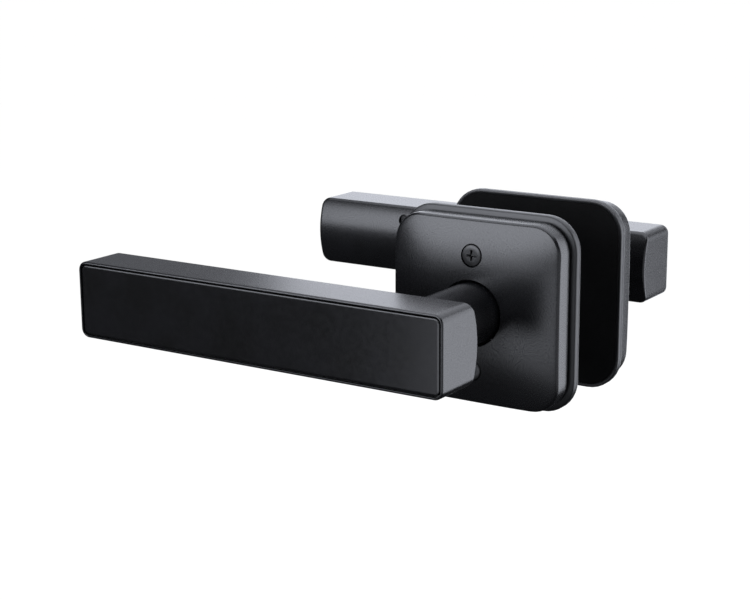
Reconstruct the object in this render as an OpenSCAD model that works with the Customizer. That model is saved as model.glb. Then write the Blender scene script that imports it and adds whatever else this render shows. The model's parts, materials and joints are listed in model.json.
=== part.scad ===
// Keypad smart lever lock: two mirrored lever-and-rose sets clamped on a door.
// Frame: the spindle runs along Y through the origin, +Z is up, the levers point to -X.
// The indoor door face is the plane y = 0 and the outdoor door face is y = door_t.
// The indoor set is drawn on the -Y side; the outdoor set is the same set mirrored.
// Depths are written as distances from the door face, so a larger depth is further out.

/* [Door] */
// Distance between the two door faces
door_t = 32; // [31:0.5:34]
// Distance between the two through bolts
bolt_gap = 41; // [40:0.5:42]

/* [Rose] */
// Side of the square base plate
plate_w = 69.8; // [69:0.1:72]
// Thickness of the base plate
plate_t = 3.2; // [3:0.1:3.6]
// Corner radius of the base plate
plate_r = 12.2; // [10:0.1:14]
// Side of the square rose cover
cover_w = 66; // [65:0.1:67]
// Corner radius of the rose cover
cover_r = 10.6; // [9:0.1:12]
// Depth of the rim of the cover, which leaves a groove in front of the plate
cover_rim = 4.8; // [4.4:0.1:6]
// Depth of the highest point of the cover's domed face
cover_top = 15.2; // [15:0.1:16]
// Radius of the dome
dome_r = 330; // [280:10:400]

/* [Lever] */
// Reach from the spindle to the tip of the lever
tip_x = 131.2; // [126:0.1:135]
// Overhang behind the spindle
heel_x = 22.4; // [20:0.1:24]
// Height of the arm
arm_h = 28.2; // [28:0.1:30]
// Depth of the arm's flat front
arm_front = 70.6; // [70:0.1:72]
// Width of the arm's flat top
arm_flat = 19.2; // [18:0.1:20]
// How far the back of the arm bulges beyond the flat top
arm_bulge = 3.4; // [3:0.1:4]
// Corner radius of the arm seen from the front
arm_r = 3.3; // [2.8:0.1:4]
// Radius of the neck
neck_r = 11; // [10.8:0.1:11.2]

/* [Panel] */
// Width of the metal lip around the panel
lip = 0.8; // [0.7:0.05:1]
// Gap between lip and panel
panel_gap = 0.45; // [0.3:0.05:0.6]
// Thickness of the panel
panel_t = 2; // [1.8:0.1:2.2]
// How far the panel sits behind the lip
panel_sunk = 0.2; // [0.1:0.05:0.3]

/* [Handle action] */
// How far a lever turns down from rest, in degrees
lever_turn = 50; // [40:1:55]
// Travel of the clutch pin
pin_travel = 3.5; // [3:0.1:3.5]

/* [Hidden] */
$fn = 96;
eps = 0.01;
fit = 0.05;                        // radial play where one piece turns or slides in another

arm_back = arm_front - arm_flat;   // depth where the flat top ends
bulge_r = (arm_h * arm_h / 4 + arm_bulge * arm_bulge) / (2 * arm_bulge);
arm_rear = arm_back - arm_bulge;   // depth of the arm's back at its middle
wall = 2.4;                        // thickness of the arm's walls
ledge = panel_sunk + panel_t + 0.1; // how deep the panel's seat is below the arm's front
seat = arm_front - ledge;          // depth of the seat
floor_d = 53.5;                    // depth of the floor of the arm's cavity

gasket_t = 1;                      // thickness of the foam gasket, flush in the plate
gasket_edge = 1.4;                 // metal rim left around the gasket
step_w = cover_w - 3.2;            // side of the step that the cover locates on
step_top = 7.6;                    // depth of the top of that step
cover_in = 12.3;                   // depth of the inner face of the cover
bolt_z = bolt_gap / 2;
bolt_r = 2;
bolt_head_r = 3.8;
bolt_head_t = 2.4;
head_seat = 12.1;                  // depth of the seat under the bolt head
boss_top = 10.5;                   // depth of the plate's bolt bosses
bolt_end = 17;                     // how far the bolt reaches past the indoor door face
post_r = 4;                        // radius of the threaded posts in the door
post_len = 24;                     // how far a post reaches in from the outdoor door face
post_bore = 10;                    // length of its threaded hole

journal_r = 9;                     // radius of the neck's end, which turns in the bearing
journal_end = -1.2;                // it reaches this far past the door face
shoulder = 7.1;                    // depth where the neck steps down to the journal
bearing_r = 12;
circlip_t = 0.8;
circlip_d = 0.95;                  // depth of the circlip's outer face
cam_t = 2.3;
cam_r = 13.4;
stop_at = 16;                      // distance of lobe, stop posts and spring legs from the axis
stop_r = 1.8;
lobe_half = 8;                     // half angle of the cam's lobe
stop_low = -15.5;                  // angle of the post that the lobe rests on
stop_high = lever_turn + 15.5;     // angle of the post that ends the turn

coil_r = 13;                       // return spring
wire_r = 0.7;
coil_pitch = 1.3;
coil_turns = 3;
coil_d = 8.6;                      // depth of the first coil

spindle_w = 8;
spindle_in = 40;                   // how far the spindle goes into the indoor set
spindle_out = 17.5;                // how far it goes into the outdoor set
core_r = 1.5;                      // hollow core of the spindle, for the cable
cable_r = 0.8;
socket_w = spindle_w + 2 * fit;

hub_r = 7.2;                       // clutch hub
hub_near = 4;
hub_far = 24;
pin_z = 5.2;                       // distance of the clutch pin from the axis
pin_r = 1.3;
nut_r = 2.8;
nut_near = hub_far + 7 - pin_travel;
nut_len = 4;
motor_r = 3;
screw_r = 0.8;

board_t = 1.2;
board_d = 65.2;                    // depth of the back of the controller board
cell_len = 44.5;                   // AAA cell
cell_r = 5.2;
cell_d = 60;
tray_tip = -125.8;
tray_heel = -29;
tray_h = 22.8;
rear_screw = [-88.5, 8.5];         // place of the recessed screw in the outdoor lever's back
key_cols = 6;
key_pitch = [17, 11.4];
key_x0 = -8;                       // column nearest the rose

// ---- Shared shapes -----------------------------------------------------------------

// Moves the indoor-side drawing of its children to the outdoor side.
module outdoors() {
    translate([0, door_t, 0]) mirror([0, 1, 0]) children();
}

// Extrudes a drawing in x and z between two depths.
module slab(near, far) {
    translate([0, -near, 0]) rotate([90, 0, 0]) linear_extrude(far - near) children();
}

// A round rod along Y between two depths, at a place in x and z.
module rod(r, near, far, at = [0, 0]) {
    translate([at[0], -near, at[1]]) rotate([90, 0, 0]) cylinder(r = r, h = far - near);
}

// A rectangle with round corners, centred.
module round_rect(w, h, r) {
    square([w, h - 2 * r], center = true);
    square([w - 2 * r, h], center = true);
    for (x = [-1, 1], y = [-1, 1])
        translate([x * (w / 2 - r), y * (h / 2 - r)]) circle(r);
}

// The arm's front outline, drawn in by a margin.
module arm_outline(margin) {
    translate([(heel_x - tip_x) / 2, 0])
        round_rect(tip_x + heel_x - 2 * margin, arm_h - 2 * margin, max(arm_r - margin, 0.6));
}

// A box between two corners given as x, depth and z.
module block(x0, x1, near, far, z0, z1) {
    translate([x0, -far, z0]) cube([x1 - x0, far - near, z1 - z0]);
}

// Children turned about the spindle axis, counter-clockwise seen from the front.
module turned(angle) {
    rotate([0, -angle, 0]) children();
}

// A cross recess in a screw head whose top is at a depth.
module cross_recess(top, size, deep) {
    for (a = [0, 90])
        rotate([0, a, 0])
            block(-size / 2, size / 2, top - deep, top + 1, -size / 10, size / 10);
}

// ---- Rose ------------------------------------------------------------------------

// A shallow round dome whose top is the cover's highest point.
module dome() {
    rotate([90, 0, 0]) rotate_extrude() intersection() {
        translate([0, cover_top - dome_r]) circle(dome_r, $fn = 2000);
        square([cover_w, cover_top]);
    }
}

module rose_cover(with_bolts) {
    difference() {
        intersection() {
            slab(cover_rim, cover_top + 1) round_rect(cover_w, cover_w, cover_r);
            dome();
        }
        slab(cover_rim - 1, cover_in)
            round_rect(step_w + 0.2, step_w + 0.2, cover_r - 1.5);
        rod(neck_r + 0.7, cover_in - 1, cover_top + 1);
        if (with_bolts)
            for (z = [-bolt_z, bolt_z])
                rod(bolt_head_r + 0.35, cover_in - 1, cover_top + 1, [0, z]);
    }
    if (with_bolts)
        for (z = [-bolt_z, bolt_z]) difference() {
            rod(bolt_head_r + 1.8, boss_top + 0.1, cover_in + 0.2, [0, z]);
            rod(bolt_head_r + 0.35, head_seat, cover_in + 1, [0, z]);
            rod(bolt_r + 0.2, 0, cover_top, [0, z]);
        }
}

module base_plate(hole_r, boss) {
    difference() {
        union() {
            slab(0, plate_t) round_rect(plate_w, plate_w, plate_r);
            slab(plate_t - eps, step_top) difference() {
                round_rect(step_w, step_w, cover_r - 1.6);
                round_rect(step_w - 4, step_w - 4, cover_r - 3.6);
            }
            if (boss)
                for (z = [-bolt_z, bolt_z]) rod(4.4, plate_t - eps, boss_top, [0, z]);
            for (a = [stop_low, stop_high])
                turned(a) rod(stop_r, plate_t - eps, coil_d + wire_r + 0.2, [stop_at, 0]);
        }
        slab(-1, gasket_t)
            round_rect(plate_w - 2 * gasket_edge, plate_w - 2 * gasket_edge, plate_r - gasket_edge);
        rod(bearing_r, 0, plate_t + 1);
        for (z = [-bolt_z, bolt_z]) rod(hole_r, 0, boss_top + 1, [0, z]);
    }
}

module gasket() {
    slab(0, gasket_t) difference() {
        round_rect(plate_w - 2 * gasket_edge - 0.1, plate_w - 2 * gasket_edge - 0.1,
            plate_r - gasket_edge);
        circle(14.5);
        for (z = [-bolt_z, bolt_z]) translate([0, z]) circle(post_r + 1.4);
    }
}

module bearing() {
    difference() {
        union() {
            rod(bearing_r - 0.02, gasket_t, plate_t + eps);
            rod(bearing_r + 2, plate_t, plate_t + 1.3);
        }
        rod(journal_r + fit, 0, 2 * plate_t);
    }
}

// A grooved ring in the outline of the wound coils, with one leg under the lower stop post
// and one over the cam's pin.
module return_spring() {
    half = coil_pitch / 2;
    near = coil_d - half;
    top = coil_d + (coil_turns - 1) * coil_pitch;
    rotate([90, 0, 0]) rotate_extrude() polygon(concat(
        [[coil_r - wire_r, near]],
        [for (i = [0:2 * coil_turns])
            [coil_r + (i % 2 == 0 ? 0.1 : wire_r), near + i * half]],
        [[coil_r - wire_r, near + 2 * coil_turns * half]]
    ));
    legs = [[stop_low - 9.6, coil_d], [7.4, top]];
    for (leg = legs)
        turned(leg[0]) translate([coil_r - 0.3, -leg[1], 0]) rotate([0, 90, 0])
            cylinder(r = 0.5, h = 4.6);
}

module through_bolt() {
    difference() {
        union() {
            rod(bolt_r, -bolt_end, head_seat + eps);
            rod(bolt_head_r, head_seat, head_seat + bolt_head_t);
        }
        cross_recess(head_seat + bolt_head_t, 4.4, 1.6);
    }
}

// ---- Neck and arm ------------------------------------------------------------------

module stop_cam() {
    difference() {
        union() {
            rod(cam_r, shoulder - cam_t - 0.1, shoulder - 0.1);
            intersection() {
                rod(stop_at + 1.5, shoulder - cam_t - 0.1, shoulder - 0.1);
                slab(0, 10) polygon([
                    [0, 0],
                    [2 * stop_at, -2 * stop_at * tan(lobe_half)],
                    [2 * stop_at, 2 * stop_at * tan(lobe_half)],
                ]);
            }
            rod(1.2, shoulder - 0.2, 11.9, [stop_at, 0]);
        }
        rod(journal_r + 0.02, 0, shoulder + 1);
    }
}

module circlip() {
    difference() {
        rod(10.5, circlip_d - circlip_t, circlip_d);
        rod(8.42, -1, 2);
        block(-12, -6, -1, 2, -1.6, 1.6);
    }
}

// The solid arm: a front outline with round corners, cut to a D section.
module arm_solid() {
    intersection() {
        slab(arm_rear, arm_front) arm_outline(0);
        translate([-tip_x - 1, 0, 0]) rotate([90, 0, 90])
            linear_extrude(tip_x + heel_x + 2)
                translate([-(arm_rear + bulge_r), 0]) circle(bulge_r, $fn = 200);
    }
}

// Arm, neck and journal in one casting, with the panel seat and the cavity.
module lever_casting() {
    difference() {
        union() {
            arm_solid();
            rod(neck_r, shoulder, arm_rear + 2);
            rod(journal_r, journal_end, shoulder + eps);
        }
        slab(seat, arm_front + 1) arm_outline(lip);
        slab(floor_d, seat + eps) arm_outline(wall);
        difference() {
            rod(journal_r + 1, circlip_d - circlip_t - 0.02, circlip_d + 0.02);
            rod(8.4, -1, 2);
        }
    }
}

// ---- Battery side --------------------------------------------------------------------

board_posts = [[-22, 0], [14, 0]];
tray_screw_at = [[-24.6, -7], [-24.6, 7]];
set_screw_d = 30;

module standoff_posts() {
    for (p = board_posts) rod(2.2, floor_d - 1, board_d, p);
}

module small_screw(r, head_r, head_t, top, len, at) {
    difference() {
        union() {
            rod(head_r, top - head_t, top, at);
            rod(r, top - len, top - head_t + eps, at);
        }
        translate([at[0], 0, at[1]]) cross_recess(top, head_r * 1.2, head_t * 0.6);
    }
}

// One cell lying along X, its button towards dir.
module cell(x, z, dir) {
    translate([x, -cell_d, z]) rotate([0, 90 * dir, 0]) translate([0, 0, -cell_len / 2]) {
        cylinder(r = cell_r, h = cell_len - 1.2);
        cylinder(r = 1.9, h = cell_len);
    }
}

// A ribbed tube in the outline of a small compression spring, pointing along +Z.
module contact_spring(len) {
    ribs = 5;
    step = len / ribs;
    rotate_extrude($fn = 32) polygon(concat(
        [for (i = [0:2 * ribs]) [i % 2 == 0 ? 2.3 : 3, i * step / 2]],
        [for (i = [2 * ribs:-1:0]) [i % 2 == 0 ? 1.8 : 2.5, i * step / 2]]
    ));
}

// ---- Keypad symbols --------------------------------------------------------------------

// Bars of a seven-bar numeral: top, upper right, lower right, bottom, lower left, upper left, middle.
numeral_bars = [
    [1, 1, 1, 1, 1, 1, 0], [0, 1, 1, 0, 0, 0, 0], [1, 1, 0, 1, 1, 0, 1], [1, 1, 1, 1, 0, 0, 1],
    [0, 1, 1, 0, 0, 1, 1], [1, 0, 1, 1, 0, 1, 1], [1, 0, 1, 1, 1, 1, 1], [1, 1, 1, 0, 0, 0, 0],
    [1, 1, 1, 1, 1, 1, 1], [1, 1, 1, 1, 0, 1, 1],
];
// Top row then bottom row, read from the rose towards the tip; 10 is a star and 11 a hash.
key_rows = [[1, 2, 3, 4, 5, 10], [6, 7, 8, 9, 0, 11]];
sym_w = 2.6;
sym_h = 4.6;
bar_w = 0.5;

module bar(from, to) {
    d = to - from;
    translate(from) rotate(atan2(d[1], d[0])) translate([-bar_w / 2, -bar_w / 2])
        square([norm(d) + bar_w, bar_w]);
}

module numeral(n) {
    w = sym_w / 2;
    h = sym_h / 2;
    ends = [
        [[-w, h], [w, h]], [[w, h], [w, 0]], [[w, 0], [w, -h]], [[-w, -h], [w, -h]],
        [[-w, 0], [-w, -h]], [[-w, h], [-w, 0]], [[-w, 0], [w, 0]],
    ];
    for (i = [0:6])
        if (numeral_bars[n][i] == 1) bar(ends[i][0], ends[i][1]);
}

module symbol(n) {
    if (n < 10) numeral(n);
    if (n == 10)
        for (a = [0, 60, 120]) rotate(a) bar([-1.6, 0], [1.6, 0]);
    if (n == 11)
        for (a = [0, 90], s = [-0.7, 0.7]) rotate(a) bar([-1.8, s], [1.8, s]);
}

// Puts its children at the key in a row and column; column 0 is nearest the rose.
module at_key(row, col) {
    translate([key_x0 - col * key_pitch[0], (0.5 - row) * key_pitch[1]]) children();
}

// ---- Nodes: fixed to the door ------------------------------------------------------

module indoor_rose_cover() {
    color("#1b1c1f") rose_cover(true);
}

module indoor_base_plate() {
    color("#18191b") base_plate(bolt_r + 0.2, true);
}

module indoor_gasket() {
    color("#0c0c0d") gasket();
}

module indoor_bearing() {
    color("#d8d6cf") bearing();
}

module indoor_return_spring() {
    color("#9a9ca0") return_spring();
}

module through_bolts() {
    color("#2a2b2e") for (z = [-bolt_z, bolt_z]) translate([0, 0, z]) through_bolt();
}

module outdoor_rose_cover() {
    color("#1b1c1f") outdoors() rose_cover(false);
}

module outdoor_base_plate() {
    color("#18191b") outdoors() base_plate(post_r - 0.5, false);
}

module outdoor_gasket() {
    color("#0c0c0d") outdoors() gasket();
}

module outdoor_bearing() {
    color("#d8d6cf") outdoors() bearing();
}

module outdoor_return_spring() {
    color("#9a9ca0") outdoors() return_spring();
}

module bolt_posts() {
    color("#8f9194") outdoors() for (z = [-bolt_z, bolt_z]) difference() {
        union() {
            rod(post_r, -post_len, gasket_t, [0, z]);
            rod(post_r - 0.52, 0, plate_t, [0, z]);
        }
        rod(bolt_r + fit, -post_len - 1, post_bore - post_len, [0, z]);
    }
}

// ---- Nodes: turning with the indoor lever --------------------------------------------

module indoor_lever() {
    color("#1b1c1f") difference() {
        union() {
            lever_casting();
            standoff_posts();
        }
        block(-socket_w / 2, socket_w / 2, journal_end - 1, spindle_in + 0.5,
            -socket_w / 2, socket_w / 2);
        rod(1.2, spindle_in, floor_d + 1);
        translate([0, -set_screw_d, -neck_r - 1]) cylinder(r = 2.5, h = neck_r);
        for (p = tray_screw_at) rod(1.05, 50.2, floor_d + 1, p);
        for (p = board_posts) rod(0.85, board_d - 5, board_d + 1, p);
    }
}

module indoor_stop_cam() {
    color("#77797d") stop_cam();
}

module indoor_circlip() {
    color("#303236") circlip();
}

module spindle_set_screw() {
    top = -spindle_w / 2;
    color("#3a3b3e") translate([0, -set_screw_d, top - 6]) difference() {
        cylinder(r = 2.45, h = 6);
        translate([0, 0, -eps]) cylinder(r = 1.45, h = 2.4, $fn = 6);
    }
}

module spindle() {
    color("#a7a9ac") difference() {
        block(-spindle_w / 2, spindle_w / 2, -door_t - spindle_out, spindle_in,
            -spindle_w / 2, spindle_w / 2);
        rod(core_r, -door_t - spindle_out - 1, spindle_in + 1);
    }
}

module clutch_hub() {
    color("#8a8c90") outdoors() difference() {
        rod(hub_r, hub_near, hub_far);
        block(-socket_w / 2, socket_w / 2, hub_near - 1, spindle_out + 0.5,
            -socket_w / 2, socket_w / 2);
        rod(core_r, hub_near, hub_far + 1);
        rod(pin_r + fit, hub_far - pin_travel - 1, hub_far + 1, [0, pin_z]);
    }
}

module battery_tray() {
    color("#26272a") difference() {
        union() {
            block(tray_tip, tray_heel, floor_d + 0.1, 65.6, -tray_h / 2, tray_h / 2);
            block(tray_heel - 1, -26.2 + 4.4, floor_d + 0.1, floor_d + 1.9, -10, 10);
        }
        block(tray_tip + 1.2, tray_heel - 1.2, floor_d + 1.1, 66, -10.8, 10.8);
        for (p = tray_screw_at) rod(1.1, floor_d - 1, 60, p);
        rod(2.4, floor_d - 1, 60, board_posts[0]);
    }
}

module tray_screws() {
    color("#b4b6b9")
        for (p = tray_screw_at) small_screw(1, 1.9, 1.4, floor_d + 1.9 + 1.4, 4.4, p);
}

module batteries() {
    mid = (tray_tip + tray_heel) / 2;
    color("#3f6f4a") for (s = [-1, 1], row = [-1, 1])
        cell(mid + 0.15 + s * (cell_len / 2 + 0.05), row * 5.4, row);
}

module battery_contacts() {
    inner_tip = tray_tip + 1.2;
    inner_heel = tray_heel - 1.2;
    color("#b9a66a") {
        block(inner_tip, inner_tip + 0.4, 55, 65, -10.4, 10.4);
        block(inner_heel - 0.4, inner_heel, 55, 65, -10.4, -0.6);
        block(inner_heel - 0.4, inner_heel, 55, 65, 0.6, 10.4);
        translate([inner_tip + 0.4, -cell_d, 5.4]) rotate([0, 90, 0]) contact_spring(2.3);
        translate([inner_heel - 0.4, -cell_d, -5.4]) rotate([0, -90, 0]) contact_spring(2);
    }
}

module controller_board() {
    color("#1f5a3a") difference() {
        union() {
            block(-26, 18, board_d, board_d + board_t, -10.6, 10.6);
            block(-16, -8, board_d + board_t, board_d + board_t + 0.9, -4, 4);
            block(2, 8, board_d + board_t, board_d + board_t + 1.2, -8, -4);
            rod(2.6, board_d + board_t, board_d + board_t + 1.2, [6, 4.5]);
        }
        for (p = board_posts) rod(1, board_d - 1, board_d + 3, p);
    }
}

module board_screws() {
    color("#b4b6b9")
        for (p = board_posts) small_screw(0.8, 1.7, 1, board_d + board_t + 1, 5.6, p);
}

module link_cable() {
    color("#c8452f") rod(cable_r, -door_t - board_d - 0.4, board_d);
}

module battery_cover() {
    color("#0b0c0d") {
        slab(arm_front - panel_sunk - panel_t, arm_front - panel_sunk)
            arm_outline(lip + panel_gap);
        inner = arm_front - panel_sunk - panel_t;
        for (x = [-104, -52, 4], s = [-1, 1])
            block(x - 3, x + 3, inner - 2.4, inner + eps, s * 11 - 0.4, s * 11 + 0.4);
    }
}

// ---- Nodes: turning with the outdoor lever -------------------------------------------

module outdoor_lever() {
    color("#1b1c1f") outdoors() difference() {
        lever_casting();
        rod(hub_r + 0.06, journal_end - 1, hub_far + 1);
        rod(pin_r + fit, hub_far, floor_d, [0, pin_z]);
        rod(motor_r + 0.1, hub_far + 3.3, floor_d + 1, [0, pin_z]);
        rod(1.2, hub_far, floor_d + 1);
        rod(2.3, arm_rear - 1, 51.8, rear_screw);
        rod(1.15, 50, floor_d + 1, rear_screw);
    }
}

module outdoor_stop_cam() {
    color("#77797d") outdoors() stop_cam();
}

module outdoor_circlip() {
    color("#303236") outdoors() circlip();
}

module outdoor_chassis() {
    near = floor_d + 0.1;
    far = 65.8;
    color("#26272a") outdoors() difference() {
        union() {
            slab(near, far) difference() {
                arm_outline(wall + 0.3);
                arm_outline(wall + 1.6);
            }
            for (x = [-100, -60, -24]) block(x - 0.7, x + 0.7, near, far, -11, 11);
            rod(2.5, near, 62, rear_screw);
        }
        rod(1, near - 1, 61, rear_screw);
        for (x = [-100, -60, -24]) block(x - 1, x + 1, 63, far + 1, -4, 4);
    }
}

module chassis_screw() {
    color("#3a3b3e") outdoors() difference() {
        union() {
            rod(1.95, 50.4, 51.8, rear_screw);
            rod(0.98, 51.8 - eps, 60.5, rear_screw);
        }
        translate([rear_screw[0], 0, rear_screw[1]])
            for (a = [0, 90]) rotate([0, a, 0]) block(-1.3, 1.3, 50, 51.2, -0.3, 0.3);
    }
}

guide_near = 65.9 + board_t + 0.7;
guide_far = arm_front - panel_sunk - panel_t;

module keypad_board() {
    color("#1f5a3a") outdoors() slab(65.9, 65.9 + board_t) arm_outline(wall + 0.4);
}

module keypad_leds() {
    color("#e8e8dc") outdoors()
        slab(65.9 + board_t, guide_near)
            for (row = [0, 1], col = [0:key_cols - 1])
                at_key(row, col) square([1.6, 0.9], center = true);
}

module keypad_light_guide() {
    color("#d9dde0") outdoors() slab(guide_near, guide_far) arm_outline(wall + 0.5);
}

module keypad_panel() {
    color("#0b0c0d") outdoors()
        slab(arm_front - panel_sunk - panel_t, arm_front - panel_sunk)
            arm_outline(lip + panel_gap);
}

module keypad_symbols() {
    color("#c9ced2") outdoors()
        slab(arm_front - panel_sunk, arm_front - panel_sunk + 0.08)
            for (row = [0, 1], col = [0:key_cols - 1])
                at_key(row, col) mirror([1, 0]) symbol(key_rows[row][col]);
}

module clutch_motor() {
    color("#a9abae") outdoors() difference() {
        rod(motor_r, 41, 53, [0, pin_z]);
        rod(screw_r + 0.06, 40, 43, [0, pin_z]);
    }
}

module motor_leads() {
    color("#b03a2e") outdoors()
        for (x = [-1.2, 1.2]) rod(0.5, 53, 65.9, [x, pin_z + 0.8]);
}

// ---- Nodes: clutch ---------------------------------------------------------------------

module clutch_pin() {
    color("#c4c6c9") outdoors() difference() {
        union() {
            rod(pin_r, hub_far + 0.4 - pin_travel, nut_near + eps, [0, pin_z]);
            rod(nut_r, nut_near, nut_near + nut_len, [0, pin_z]);
        }
        rod(screw_r + 0.06, nut_near - 2.5, nut_near + nut_len + 1, [0, pin_z]);
    }
}

module clutch_screw() {
    color("#c9a25a") outdoors() {
        rod(screw_r, 29, 42.6, [0, pin_z]);
        rod(2.5, 38.5, 40.5, [0, pin_z]);
    }
}

indoor_rose_cover();
indoor_base_plate();
indoor_gasket();
indoor_bearing();
indoor_return_spring();
through_bolts();
outdoor_rose_cover();
outdoor_base_plate();
outdoor_gasket();
outdoor_bearing();
outdoor_return_spring();
bolt_posts();
indoor_lever();
indoor_stop_cam();
indoor_circlip();
spindle_set_screw();
spindle();
clutch_hub();
battery_tray();
tray_screws();
batteries();
battery_contacts();
controller_board();
board_screws();
link_cable();
battery_cover();
outdoor_lever();
outdoor_stop_cam();
outdoor_circlip();
outdoor_chassis();
chassis_screw();
keypad_board();
keypad_leds();
keypad_light_guide();
keypad_panel();
keypad_symbols();
clutch_motor();
motor_leads();
clutch_pin();
clutch_screw();
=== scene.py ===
"""Looks of a keypad smart lever lock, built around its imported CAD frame.

Lengths are millimetres, as in the design, except for the stage and the lights, which are in
metres. A depth is a distance out from the door face of the side that a piece is on, so one
builder makes both sides.
"""
import json
import math

import bmesh
import bpy
from mathutils import Matrix, Vector


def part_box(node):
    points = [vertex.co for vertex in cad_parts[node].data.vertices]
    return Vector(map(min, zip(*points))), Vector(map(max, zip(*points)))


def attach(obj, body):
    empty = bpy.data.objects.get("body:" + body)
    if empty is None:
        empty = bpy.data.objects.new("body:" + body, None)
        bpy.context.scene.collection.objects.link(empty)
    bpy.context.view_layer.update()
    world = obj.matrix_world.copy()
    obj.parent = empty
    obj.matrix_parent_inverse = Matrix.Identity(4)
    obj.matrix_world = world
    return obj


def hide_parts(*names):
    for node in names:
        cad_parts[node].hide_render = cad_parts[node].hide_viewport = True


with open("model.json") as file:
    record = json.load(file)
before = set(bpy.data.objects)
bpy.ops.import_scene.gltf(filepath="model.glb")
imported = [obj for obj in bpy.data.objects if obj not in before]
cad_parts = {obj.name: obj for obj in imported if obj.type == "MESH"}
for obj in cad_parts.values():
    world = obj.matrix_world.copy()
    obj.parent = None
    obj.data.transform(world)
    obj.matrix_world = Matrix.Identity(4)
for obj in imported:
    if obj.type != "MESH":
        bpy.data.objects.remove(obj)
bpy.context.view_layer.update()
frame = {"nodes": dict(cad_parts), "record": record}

MM = 0.001

# ---- Camera ------------------------------------------------------------------------------

CAMERA_AT = (283.3, -503.8, 141.3)
CAMERA_AIM = (-49.5, 0.0, -4.5)
CAMERA_ROLL = -0.0067  # radians
LENS = 80.23
SENSOR = 36.0


def make_camera():
    """Makes the scene's camera and aims it at the lock."""
    data = bpy.data.cameras.new("camera")
    data.sensor_width = SENSOR
    data.lens = LENS
    data.clip_start = 0.01
    camera = bpy.data.objects.new("camera", data)
    bpy.context.scene.collection.objects.link(camera)
    at = Vector(CAMERA_AT) * MM
    aim = (Vector(CAMERA_AIM) * MM - at).to_track_quat("-Z", "Y")
    roll = Matrix.Rotation(CAMERA_ROLL, 4, "Z")
    camera.matrix_world = Matrix.Translation(at) @ aim.to_matrix().to_4x4() @ roll
    bpy.context.scene.camera = camera


# ---- The two sides of the door -------------------------------------------------------------


class Side:
    """Places points on one side of the door, given as x, depth and z."""

    def __init__(self, name, face, out):
        self.name = name
        self.face = face
        self.out = out

    def place(self, x, depth, z):
        return Vector((x * MM, self.face + self.out * depth * MM, z * MM))


INDOOR = Side("indoor", 0.0, -1)
OUTDOOR = Side("outdoor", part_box("outdoor_base_plate")[0].y, 1)


def half_width(node):
    """How far a node reaches to the heel side of the spindle."""
    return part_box(node)[1].x / MM


def outer_depth(node):
    """How far an indoor node stands out from the door."""
    return -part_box(node)[0].y / MM


PANEL_T = 2.0
PANEL_MARGIN = 1.25
COVER_HALF = half_width("indoor_rose_cover")
COVER_TOP = outer_depth("indoor_rose_cover")
PLATE_HALF = half_width("indoor_base_plate")
HEEL_X = half_width("battery_cover") + PANEL_MARGIN
TIP_X = -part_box("indoor_lever")[0].x / MM
ARM_FRONT = outer_depth("indoor_lever")
PANEL_FRONT = outer_depth("battery_cover")

ARM_HALF_H = 14.1
ARM_R = 3.3
ARM_BULGE = 3.4
ARM_FLAT = 19.2
ARM_REAR = ARM_FRONT - ARM_FLAT - ARM_BULGE
BULGE_R = (ARM_HALF_H**2 + ARM_BULGE**2) / (2 * ARM_BULGE)
FLOOR_DEPTH = 53.5
SEAT_DEPTH = 68.3
LIP = 0.8
WALL = 2.4
NECK_R = 11.0
JOURNAL_R = 9.0
INDOOR_BORE_R = 5.75
OUTDOOR_BORE_R = 7.26
SCREW_HOLE_R = 2.3
SCREW_HOLE_AT = (-88.5, 8.5)
BOLT_Z = 20.5
BOLT_WELL_R = 4.15
BOLT_HOLE_R = 2.2
BOSS_TOP = 10.5
POST_HOLE_R = 3.5

CORNER_STEPS = 9
SHARP_ANGLE = 32


# ---- Outlines and skins ----------------------------------------------------------------------


def round_rect(half_w, half_h, r, centre_x=0.0, split=(18, 10)):
    """Points of a rectangle with round corners; the same call makes rings that match."""
    r = max(r, 0.05)
    points = []
    corners = [(1, 1, 0), (-1, 1, 90), (-1, -1, 180), (1, -1, 270)]
    for index, (sx, sz, start) in enumerate(corners):
        cx, cz = sx * (half_w - r), sz * (half_h - r)
        for i in range(CORNER_STEPS + 1):
            a = math.radians(start + 90 * i / CORNER_STEPS)
            points.append((centre_x + cx + r * math.cos(a), cz + r * math.sin(a)))
        nsx, nsz, _ = corners[(index + 1) % 4]
        a = math.radians(start + 90)
        x0, z0 = points[-1]
        x1 = centre_x + nsx * (half_w - r) + r * math.cos(a)
        z1 = nsz * (half_h - r) + r * math.sin(a)
        count = split[0] if index % 2 == 0 else split[1]
        for i in range(1, count):
            t = 0.5 - 0.5 * math.cos(math.pi * i / count)
            points.append((x0 + (x1 - x0) * t, z0 + (z1 - z0) * t))
    return points


def circle(r, count, centre=(0.0, 0.0), phase=0.0):
    """Points of a circle, turned by a phase in radians."""
    turns = [2 * math.pi * i / count + phase for i in range(count)]
    return [(centre[0] + r * math.cos(a), centre[1] + r * math.sin(a)) for a in turns]


def fillet(radius, steps):
    """Pairs of inset and drop along a rounded edge, from its face down to its wall."""
    turns = [math.radians(90 * i / steps) for i in range(1, steps + 1)]
    return [(radius * (1 - math.sin(a)), radius * (1 - math.cos(a))) for a in turns]


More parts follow.
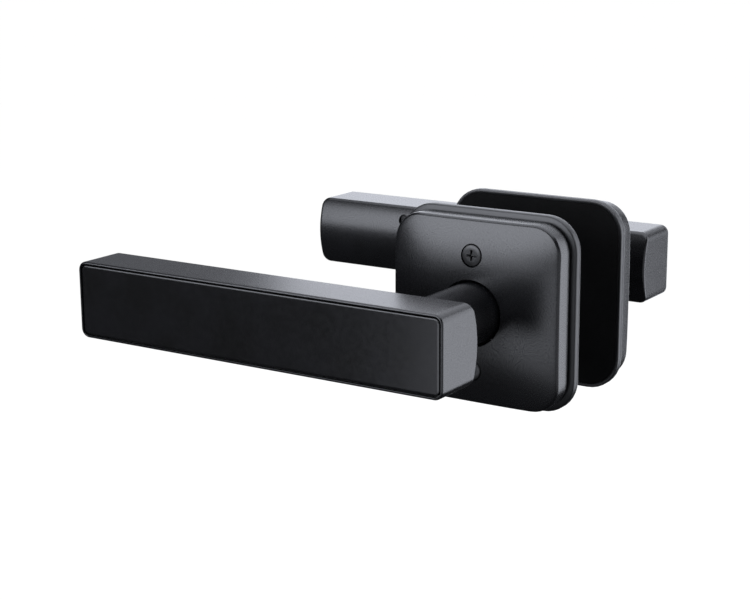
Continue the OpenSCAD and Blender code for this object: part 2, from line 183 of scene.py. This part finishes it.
class Skin:
    """Surfaces on one side of the door, each joined from matching loops of points."""

    def __init__(self, side):
        self.side = side
        self.bm = bmesh.new()

    def join(self, loops, closed=False):
        """Joins loops of vertices with quads, and caps the ends unless the last meets the first."""
        pairs = list(zip(loops, loops[1:]))
        if closed:
            pairs.append((loops[-1], loops[0]))
        for a, b in pairs:
            for i in range(len(a)):
                j = (i + 1) % len(a)
                self.bm.faces.new((a[i], a[j], b[j], b[i]))
        if not closed:
            self.bm.faces.new(loops[0])
            self.bm.faces.new(loops[-1])

    def sweep(self, rings, closed=False):
        """rings is a list of (outline, depth); depth is a number or a function of x and z."""
        loops = []
        for outline, depth in rings:
            level = depth if callable(depth) else (lambda x, z, d=depth: d)
            loops.append([self.bm.verts.new(self.side.place(x, level(x, z), z)) for x, z in outline])
        self.join(loops, closed)
        return self

    def lathe(self, profile, centre=(0.0, 0.0), count=64, phase=0.037):
        """profile is a list of (radius, depth); the phase keeps points off the plates' seams."""
        return self.sweep([(circle(r, count, centre, phase), d) for r, d in profile])


def finish_piece(name, bm, body, material, replaced=(), sharp=SHARP_ANGLE):
    """Turns a bmesh into a piece that rides on its body."""
    bmesh.ops.remove_doubles(bm, verts=bm.verts, dist=1e-7)
    bmesh.ops.recalc_face_normals(bm, faces=bm.faces)
    mesh = bpy.data.meshes.new(name)
    bm.to_mesh(mesh)
    bm.free()
    mesh.materials.append(material)
    mesh.polygons.foreach_set("use_smooth", [True] * len(mesh.polygons))
    mesh.set_sharp_from_angle(angle=math.radians(sharp))
    piece = bpy.data.objects.new(name, mesh)
    bpy.context.scene.collection.objects.link(piece)
    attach(piece, body)
    if replaced:
        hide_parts(*replaced)
    return piece


def cutter(skin):
    """A hidden tool object, used once by carve()."""
    bmesh.ops.recalc_face_normals(skin.bm, faces=skin.bm.faces)
    mesh = bpy.data.meshes.new("cutter")
    skin.bm.to_mesh(mesh)
    skin.bm.free()
    tool = bpy.data.objects.new("cutter", mesh)
    bpy.context.scene.collection.objects.link(tool)
    return tool


def carve(piece, tools, operation="DIFFERENCE"):
    """Applies exact booleans with the tools, then removes them."""
    for tool in tools:
        step = piece.modifiers.new("carve", "BOOLEAN")
        step.object = tool
        step.operation = operation
        step.solver = "EXACT"
        depsgraph = bpy.context.evaluated_depsgraph_get()
        carved = bpy.data.meshes.new_from_object(piece.evaluated_get(depsgraph))
        piece.modifiers.clear()
        piece.data = carved
        bpy.data.objects.remove(tool)
    piece.data.polygons.foreach_set("use_smooth", [True] * len(piece.data.polygons))
    piece.data.set_sharp_from_angle(angle=math.radians(SHARP_ANGLE))
    return piece


# ---- Materials -------------------------------------------------------------------------------


BROAD_NOISE = 14
COAT_ROUGHNESS = 0.06


def surface(name, dark, light, rough, metallic=0.0, grain=0.2, relief=0.05, coat=0.0, ior=1.5):
    """A material whose colour, gloss and fine relief follow noise of a real size.

    grain is the size of the relief's bumps in millimetres, and relief their strength.
    """
    material = bpy.data.materials.new(name)
    material.use_nodes = True
    nodes, links = material.node_tree.nodes, material.node_tree.links
    shader = nodes["Principled BSDF"]
    shader.inputs["Metallic"].default_value = metallic
    shader.inputs["Coat Weight"].default_value = coat
    shader.inputs["Coat Roughness"].default_value = COAT_ROUGHNESS
    shader.inputs["IOR"].default_value = ior
    place = nodes.new("ShaderNodeTexCoord")

    def noise(size_mm, detail):
        node = nodes.new("ShaderNodeTexNoise")
        node.inputs["Scale"].default_value = 1 / (size_mm * MM)
        node.inputs["Detail"].default_value = detail
        links.new(place.outputs["Object"], node.inputs["Vector"])
        return node

    def ramp(source, low, high):
        node = nodes.new("ShaderNodeValToRGB")
        node.color_ramp.elements[0].position = 0.35
        node.color_ramp.elements[1].position = 0.65
        node.color_ramp.elements[0].color = (*low, 1)
        node.color_ramp.elements[1].color = (*high, 1)
        links.new(source.outputs["Fac"], node.inputs["Fac"])
        return node

    broad, fine = noise(BROAD_NOISE, 3), noise(grain, 2)
    links.new(ramp(broad, dark, light).outputs["Color"], shader.inputs["Base Color"])
    gloss = ramp(fine, (rough[0],) * 3, (rough[1],) * 3)
    links.new(gloss.outputs["Color"], shader.inputs["Roughness"])
    bump = nodes.new("ShaderNodeBump")
    bump.inputs["Strength"].default_value = relief
    bump.inputs["Distance"].default_value = grain * MM * 0.2
    links.new(fine.outputs["Fac"], bump.inputs["Height"])
    links.new(bump.outputs["Normal"], shader.inputs["Normal"])
    return material


def make_materials():
    """One material for each of the record's slots."""
    black = (0.0035, 0.0036, 0.004), (0.0055, 0.0057, 0.0063)
    return {
        "cast_black": surface("cast_black", *black, (0.24, 0.29), grain=0.25, relief=0.009),
        "plate_black": surface("plate_black", *black, (0.34, 0.40), grain=0.2, relief=0.02),
        "gloss_black": surface("gloss_black", (0.004,) * 3, (0.0055, 0.0055, 0.006), (0.18, 0.21),
                               grain=2.0, relief=0.005),
        "foam": surface("foam", (0.0015,) * 3, (0.003,) * 3, (0.85, 0.98), grain=0.3, relief=0.5,
                        ior=1.25),
        "bolt_black": surface("bolt_black", (0.012,) * 3, (0.02,) * 3, (0.3, 0.42), grain=0.15),
        "nylon": surface("nylon", (0.6, 0.59, 0.54), (0.7, 0.69, 0.64), (0.4, 0.5), grain=0.4),
        "spring_steel": surface("spring_steel", (0.38,) * 3, (0.48,) * 3, (0.2, 0.32), 1.0),
        "steel": surface("steel", (0.5, 0.5, 0.51), (0.6, 0.6, 0.6), (0.22, 0.34), 1.0),
        "dark_steel": surface("dark_steel", (0.07,) * 3, (0.12,) * 3, (0.35, 0.5), 1.0),
        "tray_plastic": surface("tray_plastic", (0.018,) * 3, (0.026,) * 3, (0.5, 0.62),
                                grain=0.4, relief=0.25),
        "cell_wrap": surface("cell_wrap", (0.03, 0.12, 0.05), (0.04, 0.15, 0.06), (0.2, 0.28),
                             coat=0.4),
        "contact": surface("contact", (0.62, 0.5, 0.26), (0.74, 0.62, 0.34), (0.2, 0.32), 1.0),
        "board": surface("board", (0.01, 0.09, 0.035), (0.014, 0.12, 0.05), (0.25, 0.36),
                         grain=0.6),
        "cable": surface("cable", (0.28, 0.03, 0.02), (0.34, 0.04, 0.03), (0.45, 0.6)),
        "light_guide": surface("light_guide", (0.7, 0.73, 0.75), (0.78, 0.8, 0.82), (0.4, 0.5)),
        "led": surface("led", (0.8, 0.8, 0.68), (0.88, 0.88, 0.78), (0.3, 0.4)),
        "symbol": surface("symbol", (0.22, 0.235, 0.25), (0.27, 0.285, 0.3), (0.3, 0.4)),
        "motor_can": surface("motor_can", (0.5,) * 3, (0.58,) * 3, (0.2, 0.3), 1.0),
        "brass": surface("brass", (0.6, 0.44, 0.18), (0.72, 0.54, 0.25), (0.2, 0.3), 1.0),
    }


def dress_cad_nodes(materials):
    """Gives every CAD node the material of its slot, the ones that are later replaced included."""
    for part in frame["record"]["subparts"]:
        node = frame["nodes"][part["node"]]
        node.data.materials.clear()
        node.data.materials.append(materials[part["material_slot"]])


# ---- Rose --------------------------------------------------------------------------------------

COVER_R = 10.6
COVER_RIM = 4.8
COVER_IN = 12.0
EDGE = 0.9
COVER_INSET = 1.45
HOLE_R = NECK_R + 0.7
HOLE_EDGE = 0.35
PLATE_R = 12.2
PLATE_T = 3.2
PLATE_HOLE_R = 12.0
STEP_TOP = 7.6
STOP_R = 16
STOP_LOW, STOP_HIGH = -15.5, 65.5
ROLL_START = 0.36
ROLL_DROP = 2.3
ROLL_POWER = 4.5
DOME_DROP = 0.45


def cover_height(x, z):
    """Depth of the cover's face: a shallow dome that rolls off towards the edge."""
    u, v = abs(x) / COVER_HALF, abs(z) / COVER_HALF
    out = (u**ROLL_POWER + v**ROLL_POWER) ** (1 / ROLL_POWER)
    roll = max(0.0, (out - ROLL_START) / (1 - ROLL_START)) ** 2
    return COVER_TOP - DOME_DROP * (u * u + v * v) - ROLL_DROP * roll


def between(a, b, t):
    """The outline a share t of the way from one outline to a matching one."""
    return [(p[0] + (q[0] - p[0]) * t, p[1] + (q[1] - p[1]) * t) for p, q in zip(a, b)]


def cover_outline(inset):
    """The rose cover's outline, pulled in by an inset."""
    return round_rect(COVER_HALF - inset, COVER_HALF - inset, COVER_R - inset, split=(14, 14))


def towards(outline, r):
    """The points of an outline pulled in to a circle."""
    return [(x * r / math.hypot(x, z), z * r / math.hypot(x, z)) for x, z in outline]


def well_tools(side, r, near, far):
    """Cutters for a round hole at each bolt, between two depths."""
    return [cutter(Skin(side).lathe([(r, near), (r, far)], (0, z), 48)) for z in (-BOLT_Z, BOLT_Z)]


def rose_cover(side, material, with_bolts):
    """Domed shell with a hole for the neck, and indoors a well for each bolt head."""
    edge = cover_outline(EDGE)
    hole = towards(edge, HOLE_R)
    hole_soft = towards(edge, HOLE_R + HOLE_EDGE)
    inner = cover_outline(COVER_INSET)
    steps = [0.0] + [1 - 0.85 * (1 - i / 16) for i in range(17)]
    rings = [(hole, COVER_IN), (hole, lambda x, z: cover_height(x, z) - HOLE_EDGE)]
    rings += [(between(hole_soft, edge, t), cover_height) for t in steps]
    for inset, drop in fillet(EDGE, 6):
        rings.append((cover_outline(inset), lambda x, z, d=drop: cover_height(x, z) - d))
    rings += [
        (cover_outline(0), COVER_RIM + 0.3),
        (cover_outline(0.3), COVER_RIM),
        (inner, COVER_RIM),
        (inner, COVER_IN - 1.0),
        (cover_outline(2.6), COVER_IN - 0.2),
    ]
    skin = Skin(side).sweep(rings, closed=True)
    name = side.name + "_rose_cover"
    piece = finish_piece(name + "_shell", skin.bm, "door_set", material, (name,))
    if with_bolts:
        carve(piece, well_tools(side, BOLT_WELL_R, COVER_IN - 3, COVER_TOP + 2))
    return piece


def base_plate(side, material, bolt_hole_r, boss_top):
    """Plate with a gasket pocket behind, chamfered edges and a step that the cover locates on."""

    def ring(inset):
        return round_rect(PLATE_HALF - inset, PLATE_HALF - inset, PLATE_R - inset, split=(14, 14))

    def step(inset):
        half = COVER_HALF - 1.6 - inset
        return round_rect(half, half, 9 - inset, split=(14, 14))

    hole = towards(ring(0), PLATE_HOLE_R)
    rings = [
        (hole, 1.0), (ring(1.4), 1.0), (ring(1.4), 0.1), (ring(1.2), 0.0), (ring(0.4), 0.0),
        (ring(0.1), 0.1), (ring(0), 0.4), (ring(0), 2.5), (ring(0.15), 2.95), (ring(0.6), PLATE_T),
        (step(0), PLATE_T), (step(0), STEP_TOP - 0.3), (step(0.3), STEP_TOP), (step(2.0), STEP_TOP),
        (step(2.0), PLATE_T), (hole, PLATE_T),
    ]
    skin = Skin(side).sweep(rings, closed=True)
    name = side.name + "_base_plate"
    piece = finish_piece(name + "_pressing", skin.bm, "door_set", material, (name,))
    if boss_top:
        boss = [(4.4, 2.6), (4.4, boss_top - 0.3), (4.1, boss_top)]
        carve(piece, [cutter(Skin(side).lathe(boss, (0, z), 40)) for z in (-BOLT_Z, BOLT_Z)],
              "UNION")
    carve(piece, [stop_post(side, angle) for angle in (STOP_LOW, STOP_HIGH)], "UNION")
    return carve(piece, well_tools(side, bolt_hole_r, -1, 12))


def stop_post(side, angle):
    """A post on the base plate that the lever's cam stops against."""
    at = (STOP_R * math.cos(math.radians(angle)), STOP_R * math.sin(math.radians(angle)))
    return cutter(Skin(side).lathe([(1.8, 2.6), (1.8, 9.2), (1.5, 9.5)], at, 24))


def through_bolts(material):
    """Two bolts with rounded heads and a tapered cross recess."""
    skin = Skin(INDOOR)
    for z in (-BOLT_Z, BOLT_Z):
        skin.lathe([
            (1.6, -17.0), (2.0, -16.6), (2.0, 12.1), (3.8, 12.1), (3.8, 14.0), (3.65, 14.35),
            (3.3, 14.5),
        ], (0, z), 48)
    piece = finish_piece("through_bolts_turned", skin.bm, "door_set", material,
                         ("through_bolts",))
    recess = {"top": 14.6, "reach": 2.1, "half_bar": 0.42, "deep": 1.7}
    return carve(piece, [cross_tool(INDOOR, (0, z), **recess) for z in (-BOLT_Z, BOLT_Z)])


def cross_tool(side, at, top, reach, half_bar, deep):
    """A plus-shaped plug that narrows towards its bottom."""

    def plus(scale):
        r, b = reach * scale, half_bar * (0.5 + 0.5 * scale)
        corner = [(b, b), (b, r), (-b, r), (-b, b), (-r, b), (-r, -b), (-b, -b), (-b, -r),
                  (b, -r), (b, -b), (r, -b), (r, b)]
        return [(at[0] + x, at[1] + z) for x, z in corner]

    return cutter(Skin(side).sweep([(plus(1.0), top), (plus(0.45), top - deep)]))


# ---- Levers --------------------------------------------------------------------------------------

ARM_CENTRE = (HEEL_X - TIP_X) / 2
ARM_HALF_W = (HEEL_X + TIP_X) / 2
BACK_EDGE = 0.9
FRONT_EDGE = 0.6
SUPPORT = 0.2


def arm_ring(inset):
    """The arm's outline, pulled in by an inset."""
    return round_rect(ARM_HALF_W - inset, ARM_HALF_H - inset, ARM_R - inset, ARM_CENTRE,
                      split=(30, 14))


def bulge_depth(x, z):
    """Depth of the arm's D-shaped back, which is the same all along x."""
    return ARM_REAR + BULGE_R - math.sqrt(BULGE_R**2 - z * z)


def back_rings():
    """The D-shaped back from its middle line out to the side walls, with a rounded edge."""
    insets = [14.0, 12.8, 11.4, 10, 8.6, 7.2, 5.8, 4.6, 3.6, 2.8, 2.1, 1.5, BACK_EDGE]
    rings = [(arm_ring(inset), bulge_depth) for inset in insets]
    for inset, drop in fillet(BACK_EDGE, 5):
        rings.append((arm_ring(inset), lambda x, z, d=drop: bulge_depth(x, z) + d))
    rings.append((arm_ring(0), lambda x, z: bulge_depth(x, z) + BACK_EDGE + SUPPORT))
    return rings


def front_rings():
    """The front edge, the thin lip, the panel's seat and the cavity."""
    rings = [(arm_ring(0), ARM_FRONT - FRONT_EDGE - SUPPORT)]
    for i in range(5):
        a = math.radians(90 * i / 4)
        rings.append((arm_ring(FRONT_EDGE * (1 - math.cos(a))),
                      ARM_FRONT - FRONT_EDGE * (1 - math.sin(a))))
    rings += [
        (arm_ring(LIP - 0.12), ARM_FRONT),
        (arm_ring(LIP), ARM_FRONT - 0.12),
        (arm_ring(LIP), SEAT_DEPTH),
        (arm_ring(WALL), SEAT_DEPTH),
        (arm_ring(WALL), FLOOR_DEPTH + 0.5),
        (arm_ring(WALL + 0.5), FLOOR_DEPTH),
    ]
    return rings


def add_neck(skin, bore):
    """Neck and journal, with a small weld at the arm and the spindle's bore at the end."""
    skin.lathe([
        (bore, 22.0), (bore, -1.2), (JOURNAL_R - 0.4, -1.2), (JOURNAL_R, -0.8), (JOURNAL_R, 0.13),
        (8.4, 0.13), (8.4, 0.97), (JOURNAL_R, 0.97), (JOURNAL_R, 7.1), (NECK_R - 0.4, 7.1),
        (NECK_R, 7.5), (NECK_R, 46.6), (NECK_R + 0.12, 47.6), (NECK_R + 0.5, 48.6),
        (NECK_R + 1.3, 49.6), (NECK_R + 1.3, 52.0),
    ], count=80)


def lever(side, material, bore, screw_hole=None):
    """Box arm with a D-shaped back, a seat for its panel and a neck joined on behind."""
    skin = Skin(side).sweep(back_rings() + front_rings())
    name = side.name + "_lever"
    piece = finish_piece(name + "_casting", skin.bm, name, material, (name,))
    neck = Skin(side)
    add_neck(neck, bore)
    carve(piece, [cutter(neck)], "UNION")
    if screw_hole:
        carve(piece, [cutter(Skin(side).lathe([(SCREW_HOLE_R, 46), (SCREW_HOLE_R, 51.8)], screw_hole, 40))])
    return piece


def panel(side, name, node, body, material, clips):
    """A glossy inset panel with a polished rim; the battery cover has snap clips behind."""

    def ring(inset):
        return arm_ring(PANEL_MARGIN + inset)

    back = PANEL_FRONT - PANEL_T
    skin = Skin(side).sweep([
        (ring(0.3), back), (ring(0), back + 0.3), (ring(0), PANEL_FRONT - 0.55),
        (ring(0.08), PANEL_FRONT - 0.3), (ring(0.3), PANEL_FRONT - 0.08), (ring(0.7), PANEL_FRONT),
        (ring(0.7 + SUPPORT), PANEL_FRONT), (ring(4.0), PANEL_FRONT),
    ])
    if clips:
        for x in (-104, -52, 4):
            for s in (-1, 1):
                add_clip(skin, x, s, back)
    return finish_piece(name, skin.bm, body, material, (node,))


def add_clip(skin, x, s, back):
    """A springy tab with a small hook."""

    def foot(half, z0, z1):
        return [(x + half, s * z1), (x - half, s * z1), (x - half, s * z0), (x + half, s * z0)]

    skin.sweep([
        (foot(3.0, 10.6, 11.4), back + 0.05), (foot(3.0, 10.6, 11.3), back - 1.1),
        (foot(2.8, 10.6, 11.4), back - 1.5), (foot(2.5, 10.7, 11.1), back - 2.4),
    ])


# ---- Springs, cells and contacts -----------------------------------------------------------------

COIL_START = STOP_LOW - 9.6
COIL_END = 7.4 + 2 * 360
COIL_STEPS = 150
COIL_R = 13.0
COIL_DEPTH = 8.6
COIL_PITCH = 1.244
LEG_END = 17.3
SPRING_WIRE_R = 0.5
CELL_DEPTH = 60.0
CELL_R = 5.2
CELL_LEN = 44.5
CELL_Z = 5.4
TRAY_TIP = -124.6
TRAY_HEEL = -30.2
CONTACT_STEPS = 96
CONTACT_TURNS = 4
CONTACT_WIRE_R = 0.25


def add_wire(skin, path, radius, count=10):
    """Adds a round wire along a path of points given as x, depth and z."""
    points = [skin.side.place(*p) for p in path]
    across = None
    loops = []
    for i, point in enumerate(points):
        ahead = (points[min(i + 1, len(points) - 1)] - points[max(i - 1, 0)]).normalized()
        if across is None:
            across = ahead.orthogonal()
        across = (across - ahead * across.dot(ahead)).normalized()
        up = ahead.cross(across)
        turns = [2 * math.pi * k / count for k in range(count)]
        loops.append([
            skin.bm.verts.new(point + radius * MM * (across * math.cos(a) + up * math.sin(a)))
            for a in turns
        ])
    skin.join(loops)


def return_spring(side, material):
    """Wound torsion spring: one leg under the lower stop post, one over the cam's pin."""
    start, end = COIL_START, COIL_END

    def at(angle, r, depth):
        a = math.radians(angle)
        return (r * math.cos(a), depth, r * math.sin(a))

    coil = []
    for i in range(COIL_STEPS + 1):
        angle = start + 4 + (end - start - 8) * i / COIL_STEPS
        coil.append(at(angle, COIL_R, COIL_DEPTH + COIL_PITCH * (angle - start) / 360))
    low, high = coil[0][1], coil[-1][1]
    path = [at(start, LEG_END, low), at(start, COIL_R + 1.2, low), at(start + 1, COIL_R + 0.4, low)]
    path += coil
    path += [at(end - 1, COIL_R + 0.4, high), at(end, COIL_R + 1.2, high), at(end, LEG_END, high)]
    skin = Skin(side)
    add_wire(skin, path, SPRING_WIRE_R)
    name = side.name + "_return_spring"
    finish_piece(name + "_wound", skin.bm, "door_set", material, (name,), 60)


def lathe_along_x(skin, start, direction, z, profile, count=40):
    """Turns a profile of (radius, distance) about a line along X at the cells' depth."""
    loops = []
    for r, d in profile:
        ring = circle(r, count)
        loops.append([skin.bm.verts.new(skin.side.place(start + direction * d, CELL_DEPTH + a, z + b))
                      for a, b in ring])
    skin.join(loops)


def battery_cells(sleeve, metal):
    """Four AAA cells: a shrunk sleeve over a can whose crimped ends and button show."""
    body = CELL_LEN - 1.2
    wrap, can = Skin(INDOOR), Skin(INDOOR)
    middle = (TRAY_TIP + TRAY_HEEL) / 2 + 0.15
    for s in (-1, 1):
        for row in (-1, 1):
            start = middle + s * (CELL_LEN / 2 + 0.05) - row * CELL_LEN / 2
            lathe_along_x(wrap, start, row, row * CELL_Z, [
                (4.3, 0.35), (4.75, 0.1), (5.1, 0.25), (CELL_R, 0.6), (CELL_R, body - 0.7),
                (5.05, body - 0.25), (4.7, body), (4.1, body - 0.25),
            ])
            lathe_along_x(can, start, row, row * CELL_Z, [
                (2.0, 0.0), (2.6, 0.05), (4.2, 0.1), (4.28, 0.3), (4.28, 0.6),
            ])
            lathe_along_x(can, start, row, row * CELL_Z, [
                (4.08, body - 0.8), (4.08, body - 0.1), (3.4, body), (2.4, body - 0.15),
                (1.95, body), (1.9, body + 0.9), (1.6, body + 1.15), (1.3, body + 1.2),
            ])
    finish_piece("cell_sleeves", wrap.bm, "indoor_lever", sleeve, ("batteries",), 50)
    finish_piece("cell_ends", can.bm, "indoor_lever", metal, (), 40)


def rect_at(cx, cz, half_w, half_h):
    """Corners of a plain rectangle about a centre."""
    return [(cx + half_w, cz + half_h), (cx - half_w, cz + half_h), (cx - half_w, cz - half_h),
            (cx + half_w, cz - half_h)]


def battery_contacts(material):
    """Sprung leaves at both ends of the tray, with a conical spring on each flat cell end."""
    skin = Skin(INDOOR)

    def leaf(x, z, half_h):
        skin.sweep([(rect_at(x, z, 0.2, half_h), 55.0), (rect_at(x, z, 0.2, half_h), 64.6),
                    (rect_at(x, z, 0.15, half_h - 0.5), 65.0)])

    leaf(TRAY_TIP + 0.2, 0, 10.4)
    leaf(TRAY_HEEL - 0.2, -5.5, 4.9)
    leaf(TRAY_HEEL - 0.2, 5.5, 4.9)
    coils = ((TRAY_TIP + 0.4, 1, CELL_Z, 2.3), (TRAY_HEEL - 0.4, -1, -CELL_Z, 2.0))
    for x, direction, z, length in coils:
        path = []
        for i in range(CONTACT_STEPS + 1):
            t, a = i / CONTACT_STEPS, 2 * math.pi * CONTACT_TURNS * i / CONTACT_STEPS
            r = 2.75 - 0.9 * t
            path.append((x + direction * (0.28 + (length - 0.56) * t), CELL_DEPTH + r * math.cos(a),
                         z + r * math.sin(a)))
        add_wire(skin, path, CONTACT_WIRE_R, 8)
    finish_piece("battery_contacts_sprung", skin.bm, "indoor_lever", material,
                 ("battery_contacts",), 50)


# ---- Stage -----------------------------------------------------------------------------------


FLOOR_Z = -0.4
DOME_R = 4.0


def stage_material():
    """Even white that gives its own light, so nothing on the floor or the dome is shaded."""
    material = bpy.data.materials.new("pale_stage")
    material.use_nodes = True
    shader = material.node_tree.nodes["Principled BSDF"]
    shader.inputs["Base Color"].default_value = (0.02, 0.02, 0.02, 1)
    shader.inputs["Roughness"].default_value = 1.0
    shader.inputs["Emission Color"].default_value = (1, 1, 1, 1)
    shader.inputs["Emission Strength"].default_value = 1.0
    return material


def make_stage():
    """A pale floor under a pale dome. The camera sees them; reflections and shadows do not."""
    bm = bmesh.new()
    bmesh.ops.create_uvsphere(bm, u_segments=64, v_segments=32, radius=DOME_R)
    for v in bm.verts:
        v.co.z = max(v.co.z, FLOOR_Z)
    bmesh.ops.reverse_faces(bm, faces=bm.faces)
    mesh = bpy.data.meshes.new("studio_floor")
    bm.to_mesh(mesh)
    bm.free()
    mesh.materials.append(stage_material())
    floor = bpy.data.objects.new("studio_floor", mesh)
    bpy.context.scene.collection.objects.link(floor)
    floor.visible_glossy = False
    floor.visible_diffuse = False
    floor.visible_shadow = False


# Name, bearing, elevation, distance and width and height in metres, and radiance, where 1 is as
# bright as the background. A bearing of 0 is in front of the indoor side, and 90 is off the tips.
SOFT_BOXES = [
    ("backdrop", 166, 0, 1.3, 1.22, 1.1, 2.15),
    ("backdrop_side", 130, 8, 1.3, 0.5, 0.6, 0.3),
    ("back_high", 180, 42, 1.2, 1.6, 0.6, 1.6),
    ("overhead", 0, 88, 0.9, 1.4, 1.3, 2.6),
    ("front_high", 20, 42, 1.0, 1.0, 0.5, 0.5),
    ("key", 20, 14, 1.0, 0.92, 0.5, 6.2),
    ("low_fill", 7.6, -14, 1.0, 0.62, 0.24, 2.4),
    ("right_fill", -65, -8, 1.0, 2.0, 0.8, 0.8),
    ("heel_side", 228, 0, 1.1, 0.8, 1.25, 3.3),
]
AMBIENT = (0.03, 0.031, 0.034, 1)
LIGHT_TINT = (0.88, 0.91, 1.0)
LIGHT_AIM_X = -0.03


def soft_box(name, bearing, elevation, reach, width, height, radiance):
    """A rectangular light aimed at the middle of the lock."""
    data = bpy.data.lights.new(name, "AREA")
    data.shape = "RECTANGLE"
    data.size, data.size_y = width, height
    data.energy = radiance * math.pi * width * height
    data.color = LIGHT_TINT
    light = bpy.data.objects.new(name, data)
    bpy.context.scene.collection.objects.link(light)
    b, e = math.radians(bearing), math.radians(elevation)
    towards_light = Vector((-math.sin(b) * math.cos(e), -math.cos(b) * math.cos(e), math.sin(e)))
    aim = Vector((LIGHT_AIM_X, OUTDOOR.face / 2, 0))
    light.location = aim + reach * towards_light
    light.rotation_euler = (-towards_light).to_track_quat("-Z", "Y").to_euler()


def make_lights():
    """The dim surroundings and every soft box."""
    scene = bpy.context.scene
    world = bpy.data.worlds.new("studio")
    world.use_nodes = True
    world.node_tree.nodes["Background"].inputs["Color"].default_value = AMBIENT
    scene.world = world
    scene.view_settings.view_transform = "Standard"
    for row in SOFT_BOXES:
        soft_box(*row)


# ---- Putting it together -----------------------------------------------------------------------

make_camera()
look = make_materials()
dress_cad_nodes(look)
rose_cover(INDOOR, look["cast_black"], True)
rose_cover(OUTDOOR, look["cast_black"], False)
base_plate(INDOOR, look["plate_black"], BOLT_HOLE_R, BOSS_TOP)
base_plate(OUTDOOR, look["plate_black"], POST_HOLE_R, None)
through_bolts(look["bolt_black"])
lever(INDOOR, look["cast_black"], INDOOR_BORE_R)
lever(OUTDOOR, look["cast_black"], OUTDOOR_BORE_R, SCREW_HOLE_AT)
panel(INDOOR, "battery_cover_panel", "battery_cover", "battery_cover", look["gloss_black"], True)
panel(OUTDOOR, "keypad_panel_glass", "keypad_panel", "outdoor_lever", look["gloss_black"], False)
return_spring(INDOOR, look["spring_steel"])
return_spring(OUTDOOR, look["spring_steel"])
battery_cells(look["cell_wrap"], look["steel"])
battery_contacts(look["contact"])
make_stage()
make_lights()
